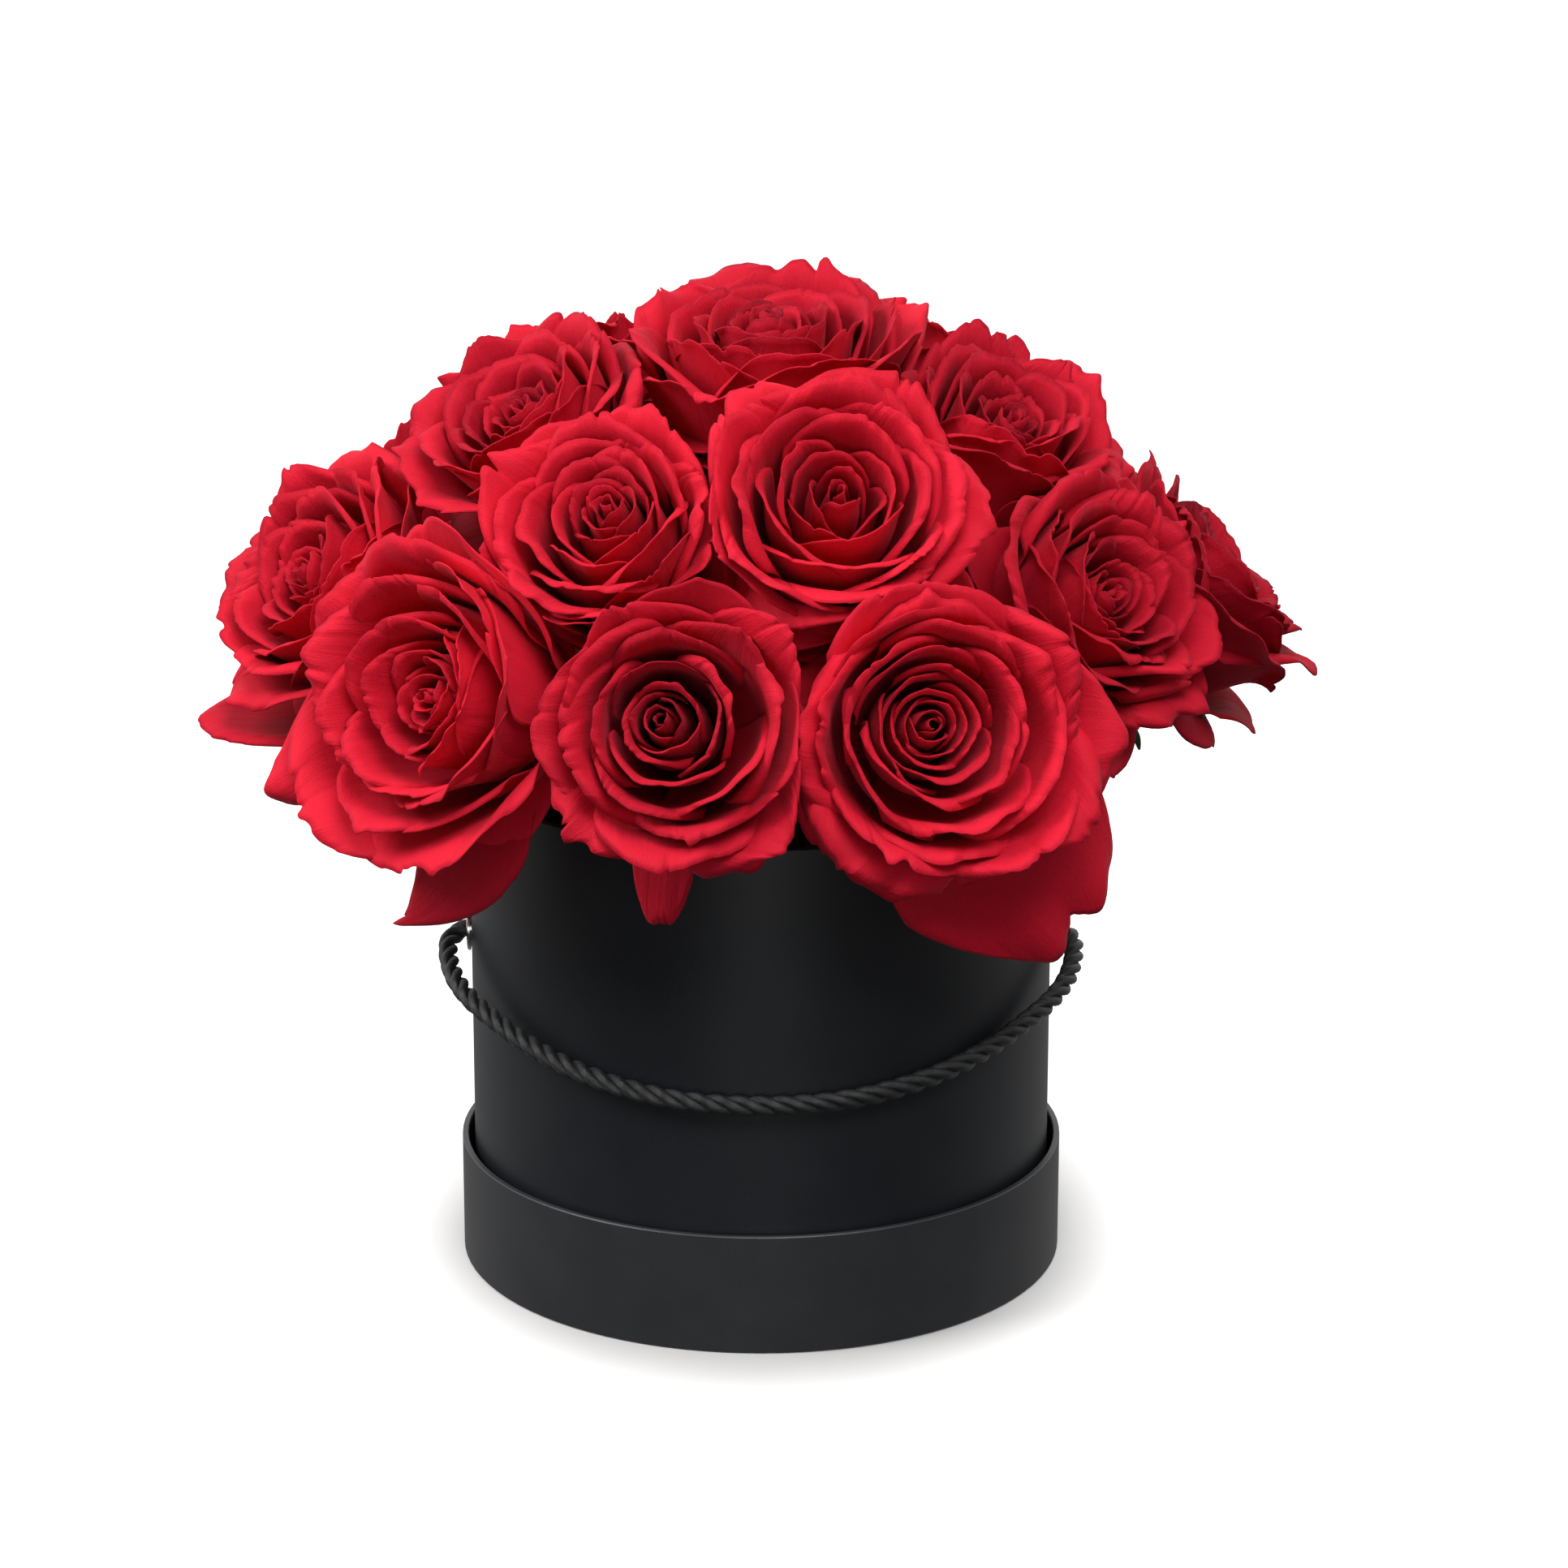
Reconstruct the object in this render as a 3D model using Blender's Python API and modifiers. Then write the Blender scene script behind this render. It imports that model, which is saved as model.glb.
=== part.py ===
"""A round flower box: a bouquet of roses in a paper-covered hat box that stands in its own lid.

Metres, +Z up. The origin is the centre of the lid's underside and the front of the box faces -Y.
Azimuths are measured round +Z from the front, and grow towards +X.
"""

import math

import bmesh
import bpy
from mathutils import Matrix, Vector

GAP = 0.0003

# The lid, turned over so that the box stands in it.
LID_RADIUS = 0.0835
LID_HEIGHT = 0.033
BOARD = 0.0018
PANEL = 0.0015

# The box.
BOX_RADIUS = 0.080
BOX_TOP = 0.139
BOX_FLOOR = 0.0018
EDGE = 0.0003
RING_STEPS = 96

# The eyelets, the rope handle and the bars that stop its ends inside the wall.
EYELET_HEIGHT = 0.0915
EYELET_BORE = 0.0038
EYELET_BARREL = 0.0043
EYELET_FLANGE = 0.0065
EYELET_CURL = 0.0056
EYELET_THICK = 0.0009
WALL_HOLE = 0.0047
CORD_RADIUS = 0.0025
CORD_SLOPE = math.radians(14.6)
STOP_RADIUS = 0.0015
STOP_LENGTH = 0.016
STOP_REACH = 0.0744
CORD_STEP = 0.0045

# The liner and the foam block in it.
LINER_RADIUS = 0.0715
LINER_WALL = 0.0010
LINER_TOP = 0.126
LINER_STEPS = 64
FOAM_EDGE = 0.117
FOAM_CROWN = 0.122
FOAM_DEPTH = 0.043
FOAM_SHOULDER = 0.003
FOAM_STEPS = 48
HOLE_SIDES = 10
HOLE_RUN = 0.010

# The roses. A bloom's outline is given from its middle to its base, as parts of its radius and depth.
BLOOM_DEPTH = 0.048
BLOOM_STEPS = 16
BLOOM_OUTLINE = (
    (0.00, 0.90),
    (0.45, 0.88),
    (0.84, 1.00),
    (1.00, 0.95),
    (0.99, 0.76),
    (0.88, 0.50),
    (0.68, 0.26),
    (0.43, 0.08),
    (0.20, 0.00),
    (0.00, 0.00),
)
STEM_RADIUS = 0.0027
STEM_HOLE = 0.0032
CALYX_RADIUS = 0.0062
CALYX_DEPTH = 0.0045

# Each rose: the azimuth, reach and height of its mouth, the azimuth and elevation that it faces,
# and its radius (degrees and millimetres), and the ring of holes that its stem goes into.
ROSES = (
    (15, 8, 267, 0, 80, 34, "crown"),
    (-72, 69, 246, -50, 52, 29, "middle"),
    (70, 73, 244, 45, 58, 27, "middle"),
    (14, 85, 238, 6, 42, 31, "middle"),
    (-27, 88, 232, -15, 44, 28, "middle"),
    (-83, 127, 199, -62, 36, 32, "outer"),
    (-43, 128, 184, -38, 16, 31, "outer"),
    (-12, 123, 186, -8, 22, 29, "outer"),
    (21, 122, 183, 9, 20, 32, "outer"),
    (55, 114, 205, 44, 30, 27, "outer"),
    (86, 127, 200, 88, 42, 29, "outer"),
    (116, 120, 188, 113, 22, 28, "outer"),
    (147, 120, 184, 148, 20, 29, "outer"),
    (179, 120, 187, 179, 21, 29, "outer"),
    (-149, 120, 185, -150, 20, 30, "outer"),
    (-117, 121, 193, -115, 26, 30, "outer"),
    (124, 76, 239, 124, 48, 28, "middle"),
    (178, 79, 238, 178, 48, 29, "middle"),
    (-129, 76, 240, -129, 50, 28, "middle"),
)
# The guard petals that hang free: the rose's number, the petal's roll from straight down, its half
# width (degrees), how far it reaches (radii) and how high along the bloom its tip is (depths).
GUARDS = (
    (6, -12, 30, 1.50, 0.85),
    (7, -16, 26, 1.95, 0.25),
    (8, 0, 12, 1.75, 0.42),
    (9, 34, 36, 1.90, 0.25),
    (10, 2, 30, 1.60, 0.40),
    (11, 10, 34, 1.50, 0.45),
    (13, -14, 34, 1.75, 0.30),
    (15, 12, 30, 1.80, 0.35),
    (16, -8, 32, 1.60, 0.70),
)
# A guard petal starts like the cup (reach and height again), and is widest at GUARD_SHOULDER of its
# length; it narrows to GUARD_FOOT of its width at the base and to GUARD_TIP at the tip.
GUARD_START = ((0.42, -0.02), (0.80, 0.20), (1.12, 0.40))
GUARD_SHOULDER = 0.6
GUARD_FOOT = 0.45
GUARD_TIP = 0.15
GUARD_THICK = 0.0012
# Where each ring of stems enters the foam, and how far the stems lean inwards below it. A stem's bend
# is a Bezier curve from under its calyx to its entry, in STEM_PARTS straight parts, with its handles
# NECK and HIP long.
RINGS = {
    "crown": (0.000, 0.0),
    "middle": (0.028, math.radians(8)),
    "outer": (0.054, math.radians(12)),
}
ENTRY_RISE = 0.002
STEM_PARTS = 8
NECK = 0.021
HIP = 0.017

# Half of the rope's route, in its own sloping plane: sideways, then forwards from the eyelets.
ROUTE_HALF = (
    (0.0762, 0.0000),
    (0.0778, 0.0000),
    (0.0811, 0.0008),
    (0.0840, 0.0030),
    (0.0856, 0.0060),
    (0.0860, 0.0092),
    (0.0858, 0.0135),
    (0.0850, 0.0190),
    (0.0828, 0.0270),
    (0.0785, 0.0360),
    (0.0714, 0.0462),
    (0.0621, 0.0574),
    (0.0507, 0.0682),
    (0.0372, 0.0770),
    (0.0228, 0.0829),
    (0.0077, 0.0856),
)


def clear_scene():
    for obj in list(bpy.data.objects):
        bpy.data.objects.remove(obj)


def new_collection(name, hidden=False):
    collection = bpy.data.collections.new(name)
    collection.hide_render = hidden
    bpy.context.scene.collection.children.link(collection)
    return collection


def new_material(name, color, roughness, metallic=0.0):
    material = bpy.data.materials.new(name)
    material.use_nodes = True
    material.diffuse_color = (*color, 1.0)
    shader = material.node_tree.nodes["Principled BSDF"]
    shader.inputs["Base Color"].default_value = (*color, 1.0)
    shader.inputs["Roughness"].default_value = roughness
    shader.inputs["Metallic"].default_value = metallic
    return material


def new_object(name, data, collection, material=None):
    obj = bpy.data.objects.new(name, data)
    collection.objects.link(obj)
    if material:
        data.materials.append(material)
    return obj


def turned(name, outline, steps, collection, material=None, closed=False):
    """A solid of revolution about +Z. The outline runs from its top down its outer side."""
    mesh = bpy.data.meshes.new(name)
    edges = [(i, i + 1) for i in range(len(outline) - 1)]
    if closed:
        edges.append((len(outline) - 1, 0))
    mesh.from_pydata([(x, 0.0, z) for x, z in outline], edges, [])
    obj = new_object(name, mesh, collection, material)
    screw = obj.modifiers.new("Turn", "SCREW")
    screw.axis = "Z"
    screw.steps = steps
    screw.render_steps = steps
    screw.use_merge_vertices = True
    screw.merge_threshold = 0.00001
    screw.use_smooth_shade = True
    return obj


def ring(name, outer, wall, bottom, top, collection, material):
    """A tube of board with its four edges eased."""
    inner = outer - wall
    outline = (
        (inner + EDGE, top),
        (outer - EDGE, top),
        (outer, top - EDGE),
        (outer, bottom + EDGE),
        (outer - EDGE, bottom),
        (inner, bottom),
        (inner, top - EDGE),
    )
    return turned(name, outline, RING_STEPS, collection, material, closed=True)


def disc(name, radius, bottom, top, collection, material):
    outline = ((0.0, top), (radius, top), (radius, bottom), (0.0, bottom))
    return turned(name, outline, RING_STEPS, collection, material)


def tube(name, points, radius, collection, material, scales=None):
    curve = bpy.data.curves.new(name, "CURVE")
    curve.dimensions = "3D"
    curve.bevel_depth = radius
    curve.bevel_resolution = 2
    curve.use_fill_caps = True
    spline = curve.splines.new("POLY")
    spline.points.add(len(points) - 1)
    spline.use_smooth = True
    for index, (point, place) in enumerate(zip(spline.points, points)):
        point.co = (*place, 1.0)
        point.radius = scales[index] if scales else 1.0
    return new_object(name, curve, collection, material)


def cut(obj, cutter):
    boolean = obj.modifiers.new("Cut", "BOOLEAN")
    boolean.operation = "DIFFERENCE"
    boolean.solver = "EXACT"
    boolean.object = cutter


def rods(name, ends, radius, sides, collection):
    """One cutter made of a straight rod between each pair of ends."""
    shape = bmesh.new()
    for start, end in ends:
        run = end - start
        turn = Vector((0, 0, 1)).rotation_difference(run).to_matrix().to_4x4()
        bmesh.ops.create_cone(
            shape,
            cap_ends=True,
            segments=sides,
            radius1=radius,
            radius2=radius,
            depth=run.length,
            matrix=Matrix.Translation((start + end) / 2) @ turn,
        )
    mesh = bpy.data.meshes.new(name)
    shape.to_mesh(mesh)
    shape.free()
    obj = new_object(name, mesh, collection)
    obj.display_type = "WIRE"
    return obj


def towards(azimuth, elevation):
    """The unit vector at an azimuth from the front and an elevation, both in radians."""
    level = math.cos(elevation)
    return Vector((math.sin(azimuth) * level, -math.cos(azimuth) * level, math.sin(elevation)))


def smooth_route(points, step):
    """Points about a step apart on the smooth curve through the given ones (Catmull-Rom)."""
    ends = [2 * points[0] - points[1], *points, 2 * points[-1] - points[-2]]
    fine = []
    for a, b, c, d in zip(ends, ends[1:], ends[2:], ends[3:]):
        for part in range(20):
            t = part / 20
            fine.append(
                0.5 * (2 * b + (c - a) * t + (2 * a - 5 * b + 4 * c - d) * t**2
                       + (3 * b - a - 3 * c + d) * t**3)
            )
    fine.append(points[-1])
    lengths = [0.0]
    for before, after in zip(fine, fine[1:]):
        lengths.append(lengths[-1] + (after - before).length)
    count = round(lengths[-1] / step)
    route = []
    at = 0
    for index in range(count + 1):
        wanted = lengths[-1] * index / count
        while at < len(fine) - 2 and lengths[at + 1] < wanted:
            at += 1
        part = (wanted - lengths[at]) / (lengths[at + 1] - lengths[at])
        route.append(fine[at].lerp(fine[at + 1], part))
    return route


def rose_frame(base, facing):
    """The bloom's own frame: X straight down its mouth's slope, Z the way it faces."""
    down = (facing * facing.z - Vector((0, 0, 1))).normalized()
    turn = Matrix((down, facing.cross(down), facing)).transposed()
    return Matrix.Translation(base) @ turn.to_4x4()


def guard_petal(name, shape, radius, collection, petal):
    """One outer petal: it leaves the base, follows the cup outside it, and then bends away from it."""
    roll, half_width, reach, tip = shape
    profile = [Vector((r * radius, z * BLOOM_DEPTH, 0.0)) for r, z in (*GUARD_START, (reach, tip))]
    rows = smooth_route(profile, radius / 5)
    places = []
    for index, row in enumerate(rows):
        along = index / (len(rows) - 1)
        if along < GUARD_SHOULDER:
            rise = math.sin(math.pi / 2 * along / GUARD_SHOULDER)
            spread = GUARD_FOOT + (1 - GUARD_FOOT) * rise
        else:
            beyond = (along - GUARD_SHOULDER) / (1 - GUARD_SHOULDER)
            spread = GUARD_TIP + (1 - GUARD_TIP) * math.sqrt(1 - beyond**2)
        for across in range(-2, 3):
            angle = math.radians(roll + half_width * spread * across / 2)
            places.append((row.x * math.cos(angle), row.x * math.sin(angle), row.y))
    faces = []
    for row in range(len(rows) - 1):
        for column in range(4):
            corner = row * 5 + column
            faces.append((corner, corner + 5, corner + 6, corner + 1))
    mesh = bpy.data.meshes.new(name)
    mesh.from_pydata(places, [], faces)
    mesh.shade_smooth()
    obj = new_object(name, mesh, collection, petal)
    thick = obj.modifiers.new("Thick", "SOLIDIFY")
    thick.thickness = GUARD_THICK
    thick.offset = 0.0
    return obj


def make_lid(collection, paper):
    disc("lid_panel", LID_RADIUS - BOARD - GAP, 0.0, PANEL, collection, paper)
    ring("lid_rim", LID_RADIUS, BOARD, 0.0, LID_HEIGHT, collection, paper)


def make_box(collection, cutters, paper, metal):
    wall = ring("box_wall", BOX_RADIUS, BOARD, BOX_FLOOR, BOX_TOP, collection, paper)
    disc("box_base", BOX_RADIUS - BOARD - GAP, BOX_FLOOR, BOX_FLOOR + BOARD, collection, paper)
    holes = []
    for side in (-1, 1):
        inside = Vector((side * (BOX_RADIUS - 4 * BOARD), 0.0, EYELET_HEIGHT))
        outside = Vector((side * (BOX_RADIUS + 4 * BOARD), 0.0, EYELET_HEIGHT))
        holes.append((inside, outside))
    cut(wall, rods("wall_holes", holes, WALL_HOLE, 24, cutters))
    for side, name in ((-1, "eyelet_left"), (1, "eyelet_right")):
        make_eyelet(name, side, collection, metal)


def make_eyelet(name, side, collection, metal):
    """A flanged tube through the wall, curled over on the inside."""
    face = BOX_RADIUS + GAP
    back = BOX_RADIUS - BOARD - 2 * GAP
    outline = (
        (EYELET_BORE + EDGE, face + EYELET_THICK),
        (EYELET_FLANGE - EDGE, face + EYELET_THICK),
        (EYELET_FLANGE, face + EYELET_THICK - EDGE),
        (EYELET_FLANGE, face),
        (EYELET_BARREL, face),
        (EYELET_BARREL, back),
        (EYELET_CURL, back),
        (EYELET_CURL - EDGE, back - EYELET_THICK),
        (EYELET_BORE + EDGE, back - EYELET_THICK),
        (EYELET_BORE, back - EYELET_THICK + EDGE),
        (EYELET_BORE, face + EYELET_THICK - EDGE),
    )
    eyelet = turned(name, outline, 24, collection, metal, closed=True)
    eyelet.location = (0.0, 0.0, EYELET_HEIGHT)
    eyelet.rotation_euler = (0.0, side * math.pi / 2, 0.0)


def make_handle(collection, rope, metal):
    """The rope and its end stops, hung from an empty on the axis through the eyelets."""
    pivot = bpy.data.objects.new("handle_pivot", None)
    pivot.location = (0.0, 0.0, EYELET_HEIGHT)
    collection.objects.link(pivot)
    half = [Vector((side, -ahead * math.cos(CORD_SLOPE), -ahead * math.sin(CORD_SLOPE)))
            for side, ahead in ROUTE_HALF]
    mirrored = [Vector((-p.x, p.y, p.z)) for p in reversed(half)]
    route = smooth_route(half + mirrored, CORD_STEP)
    tube("handle_cord", route, CORD_RADIUS, collection, rope).parent = pivot
    outline = (
        (0.0, STOP_LENGTH / 2),
        (STOP_RADIUS - EDGE, STOP_LENGTH / 2),
        (STOP_RADIUS, STOP_LENGTH / 2 - EDGE),
        (STOP_RADIUS, EDGE - STOP_LENGTH / 2),
        (STOP_RADIUS - EDGE, -STOP_LENGTH / 2),
        (0.0, -STOP_LENGTH / 2),
    )
    for side, name in ((-1, "cord_stop_left"), (1, "cord_stop_right")):
        stop = turned(name, outline, 16, collection, metal)
        stop.location = (side * STOP_REACH, 0.0, 0.0)
        stop.parent = pivot


def make_liner(collection, plastic):
    bottom = BOX_FLOOR + BOARD + GAP
    inner = LINER_RADIUS - LINER_WALL
    outline = (
        (0.0, bottom + LINER_WALL),
        (inner, bottom + LINER_WALL),
        (inner, LINER_TOP),
        (LINER_RADIUS, LINER_TOP),
        (LINER_RADIUS, bottom),
        (0.0, bottom),
    )
    turned("liner", outline, LINER_STEPS, collection, plastic)


def make_foam(collection, cutters, foam, holes):
    radius = LINER_RADIUS - LINER_WALL - GAP
    bottom = BOX_FLOOR + BOARD + LINER_WALL + 2 * GAP
    outline = (
        (0.0, FOAM_CROWN),
        (0.6 * radius, FOAM_CROWN - FOAM_SHOULDER / 3),
        (radius - FOAM_SHOULDER, FOAM_EDGE),
        (radius, FOAM_EDGE - FOAM_SHOULDER),
        (radius, bottom),
        (0.0, bottom),
    )
    block = turned("foam", outline, FOAM_STEPS, collection, foam)
    cut(block, rods("stem_holes", holes, STEM_HOLE, HOLE_SIDES, cutters))


def stem_path(base, facing, ring_name):
    """A stem from under its bloom to its tip in the foam, and the straight part that the foam holds."""
    reach, lean = RINGS[ring_name]
    azimuth = math.atan2(base.x, -base.y)
    outwards = towards(azimuth, 0.0)
    into = (-outwards * math.sin(lean) - Vector((0, 0, 1)) * math.cos(lean)).normalized()
    entry = outwards * reach + Vector((0, 0, FOAM_CROWN + ENTRY_RISE))
    tip = entry + into * FOAM_DEPTH
    top = base - facing * GAP
    start = top - facing * CALYX_DEPTH
    knee = start - facing * NECK
    hip = entry - into * HIP
    path = [top]
    for part in range(STEM_PARTS + 1):
        t = part / STEM_PARTS
        rest = 1 - t
        path.append(start * rest**3 + knee * 3 * t * rest**2 + hip * 3 * t**2 * rest + entry * t**3)
    return path + [tip], (entry - into * HOLE_RUN, tip + into * GAP)


def make_roses(collection, petal, green):
    """The blooms and their stems. It gives the straight runs that the foam is bored for."""
    calyx = CALYX_RADIUS / STEM_RADIUS
    scales = [calyx, 0.80 * calyx, 1.10] + [1.0] * STEM_PARTS
    holes = []
    for number, (azimuth, reach, height, turn, lift, radius, ring_name) in enumerate(ROSES, start=1):
        facing = towards(math.radians(turn), math.radians(lift))
        mouth = towards(math.radians(azimuth), 0.0) * (reach / 1000)
        mouth.z = height / 1000
        base = mouth - facing * BLOOM_DEPTH
        outline = [(x * radius / 1000, z * BLOOM_DEPTH) for x, z in BLOOM_OUTLINE]
        bloom = turned(f"rose_{number:02d}_bloom", outline, BLOOM_STEPS, collection, petal)
        bloom.matrix_world = rose_frame(base, facing)
        for owner, *shape in GUARDS:
            if owner == number:
                guard = guard_petal(f"rose_{number:02d}_guard", shape, radius / 1000, collection, petal)
                guard.matrix_world = rose_frame(base, facing)
        path, hole = stem_path(base, facing, ring_name)
        tube(f"rose_{number:02d}_stem", path, STEM_RADIUS, collection, green, scales)
        holes.append(hole)
    return holes


def main():
    clear_scene()
    parts = new_collection("flower_box")
    cutters = new_collection("cutters", hidden=True)
    paper = new_material("black_paper", (0.016, 0.017, 0.020), 0.62)
    nickel = new_material("nickel", (0.78, 0.78, 0.76), 0.28, 1.0)
    steel = new_material("black_steel", (0.05, 0.05, 0.05), 0.45, 1.0)
    rope = new_material("black_rope", (0.012, 0.013, 0.013), 0.70)
    plastic = new_material("black_plastic", (0.02, 0.02, 0.02), 0.40)
    foam = new_material("green_foam", (0.055, 0.13, 0.06), 0.95)
    petal = new_material("red_petal", (0.50, 0.012, 0.022), 0.60)
    green = new_material("green_stem", (0.09, 0.16, 0.05), 0.55)
    make_lid(parts, paper)
    make_box(parts, cutters, paper, nickel)
    make_handle(parts, rope, steel)
    make_liner(parts, plastic)
    holes = make_roses(parts, petal, green)
    make_foam(parts, cutters, foam, holes)


main()
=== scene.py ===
"""The flower box, dressed: paper hat box and lid, twisted rope handle, and nineteen roses petal by petal.

Metres, +Z up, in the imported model's frame. The front faces -Y. Each rose's petals are made in its own
frame in millimetres: X straight down the slope of its mouth, Z the way it faces, angles from X to Y.
"""

import itertools
import math

import bmesh
import bpy
import numpy as np
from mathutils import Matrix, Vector
from mathutils.bvhtree import BVHTree


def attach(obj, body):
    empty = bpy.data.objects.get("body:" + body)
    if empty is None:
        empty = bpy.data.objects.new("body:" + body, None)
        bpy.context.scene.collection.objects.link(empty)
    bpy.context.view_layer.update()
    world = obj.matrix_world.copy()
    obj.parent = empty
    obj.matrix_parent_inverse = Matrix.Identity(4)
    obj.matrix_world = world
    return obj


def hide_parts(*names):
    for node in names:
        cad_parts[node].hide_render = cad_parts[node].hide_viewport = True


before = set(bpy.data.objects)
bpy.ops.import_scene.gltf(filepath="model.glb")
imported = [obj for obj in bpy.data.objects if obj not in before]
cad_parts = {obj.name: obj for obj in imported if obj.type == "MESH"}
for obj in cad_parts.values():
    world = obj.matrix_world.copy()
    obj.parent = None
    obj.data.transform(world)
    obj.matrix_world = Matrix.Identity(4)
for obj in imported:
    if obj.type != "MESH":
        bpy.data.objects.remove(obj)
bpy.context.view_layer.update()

# The camera.
LENS = 108.8
CAMERA_PLACE = (0.0, -1.24498, 0.50696)
CAMERA_TARGET = (0.0, 0.0, 0.13277)
CAMERA_SHIFT = 0.01464

# The studio: the world's strength in front and behind, its share below, the range of the direction's
# Y or Z over which each changes, and the lamps (place, target, size, watts).
FRONT_GLOW = 0.17
BACK_GLOW = 0.95
DEPTH_RANGE = (-0.4, 0.6)
LOW_GLOW = 0.30
LOW_RANGE = (-0.15, 0.05)
LAMPS = {
    "key": ((0.20, -0.80, 1.20), (0.0, 0.0, 0.16), 0.8, 14.5),
    "left": ((-1.0, -0.35, 0.95), (0.0, 0.0, 0.08), 0.6, 12.0),
    "front": ((0.0, -0.90, 0.20), (0.0, 0.0, 0.10), 0.25, 1.0),
}

# The floor glows white away from the part, so that only the shade close to it shows. There the glow
# fades and the base colour darkens, a painted contact shadow laid over the real one: the glow's strength,
# the distances between which it grows, how much nearer it comes at the sides, and the base colour's tone
# in the painted shadow, rise with the glow and grain.
FLOOR_GLOW = 0.62
FLOOR_PAINTED_SHADOW_RANGE = (0.078, 0.145)
FLOOR_PAINTED_SHADOW_NARROW = 1.22
FLOOR_PAINTED_SHADOW_TONE = 0.52
FLOOR_PAINTED_SHADOW_RISE = 0.55
FLOOR_GRAIN = 0.04
FLOOR_HALF = 8
FLOOR_DROP = 0.0002

# The rope handle, as in the CAD model. ROUTE_HALF runs from inside an eyelet to the middle of the
# front, each point sideways and out along the slope.
EYELET_HEIGHT = 0.0915
CORD_SLOPE = math.radians(14.6)
CORD_STEP = 0.0045
CORD_LENGTH = 0.282
ROUTE_HALF = (
    (0.0762, 0.0000),
    (0.0778, 0.0000),
    (0.0811, 0.0008),
    (0.0840, 0.0030),
    (0.0856, 0.0060),
    (0.0860, 0.0092),
    (0.0858, 0.0135),
    (0.0850, 0.0190),
    (0.0828, 0.0270),
    (0.0785, 0.0360),
    (0.0714, 0.0462),
    (0.0621, 0.0574),
    (0.0507, 0.0682),
    (0.0372, 0.0770),
    (0.0228, 0.0829),
    (0.0077, 0.0856),
)
LAY_PITCH = 0.0172
ROUTE_STEP = 0.0005
STRANDS = 3
STRAND_RADIUS = 0.00128
STRAND_OFFSET = 0.00141
STRAND_SIDES = 30
YARNS = 6
YARN_DEPTH = 0.05
YARN_PITCH = 0.009
ROPE_UV_LENGTH = 0.01

# The roses. The grids are rows along and columns across one petal of each kind.
ROSES = range(1, 20)
PETAL_THICK = 0.00035
SEPAL_THICK = 0.0005
SEPALS = 5
GOLDEN = math.radians(137.5)
BUD_GRID = (14, 30)
MIDDLE_GRID = (20, 54)
OUTER_GRID = (24, 58)
COLLAR_GRID = (20, 40)
EXTRA_GRID = (28, 46)
GUARD_GRID = (34, 54)
SEPAL_GRID = (18, 8)

# Between two roses whose cups are nearer than NEAR_ROSE lies a plane. Petals may cross it by
# PLANE_CROSS, and are eased back from PLANE_SOFT before it. Their reach is also drawn in, to no more
# than PRESS mm past the plane and no less than LEAST_REACH of the cup's radius.
NEAR_ROSE = 0.045
NEAREST_ROUNDS = 60
PLANE_CROSS = 0.0035
PLANE_SOFT = 0.0040
PLANE_FACING = 0.15
FREE_REACH = 200.0
PRESS = 5.0
LEAST_REACH = 0.86
COLLAR_REACH = 1.30

# A rose's look. bud, middle, outer and collar count the petals of its whorls. core, cup and skirt are
# the radii where bud, middle and outer whorl end, over the CAD cup's radius. sunk and brim are the rim
# heights of bud and cup, over the cup's depth, and sag is how far the outer rims hang below brim.
# swell spreads the middle whorl, open and curl turn petals out, lean stretches the rose (angle,
# share), drift moves its middle (mm) and light shifts its tone. Each extra petal is its angle, reach,
# height, half width, slope at the end, lip, curl and point.
DEFAULT_LOOK = dict(
    bud=5, middle=16, outer=11, collar=5, core=0.24, cup=0.92, skirt=1.36, sunk=0.90, brim=1.0,
    sag=0.18, swell=1.05, open=1.0, curl=1.0, lean=(0.0, 0.0), drift=(0.0, 0.0), light=0.0, extra=(),
)
LOOKS = {
    1: dict(seed=11, skirt=1.42, sag=0.12, brim=0.95, sunk=0.93, open=0.8),
    2: dict(seed=12, skirt=1.38, drift=(0.0, -4.0)),
    3: dict(seed=13, skirt=1.46),
    4: dict(seed=14, light=0.8, middle=13, core=0.34, cup=0.94, skirt=1.32, sunk=0.84,
            drift=(3.0, 0.0),
            extra=((-36, 1.62, 0.50, 0.62, 0.9, 9, 0.8, 0.30), (44, 1.66, 0.50, 0.80, 0.9, 9, 0.8, 0.10),
                   (-12, 1.45, -0.12, 0.70, 2.2, 8, 0.6, 0.15), (14, 1.48, -0.10, 0.80, 2.2, 8, 0.6, 0.10))),
    5: dict(seed=15, light=0.5, skirt=1.30, drift=(4.0, 0.0)),
    6: dict(seed=16, light=0.6, skirt=1.30, drift=(-2.0, 1.0)),
    7: dict(seed=17, light=0.8, skirt=1.58, cup=1.0, drift=(-1.0, -6.0), lean=(-0.4, 0.14), middle=18),
    8: dict(seed=18, skirt=1.50, lean=(0.9, 0.06), cup=1.0, drift=(1.5, 4.5), middle=14),
    9: dict(seed=19, light=0.7, middle=20, skirt=1.34, lean=(0.8, 0.05), cup=1.05, sunk=0.84, sag=0.12,
            drift=(1.5, 3.0), swell=1.15),
    10: dict(seed=20, skirt=1.44, drift=(-4.0, 4.0), lean=(0.7, 0.08)),
    11: dict(seed=21, light=-0.7, skirt=1.42, drift=(-3.0, 0.0)),
}
FIRST_FREE_SEED = 40

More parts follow.
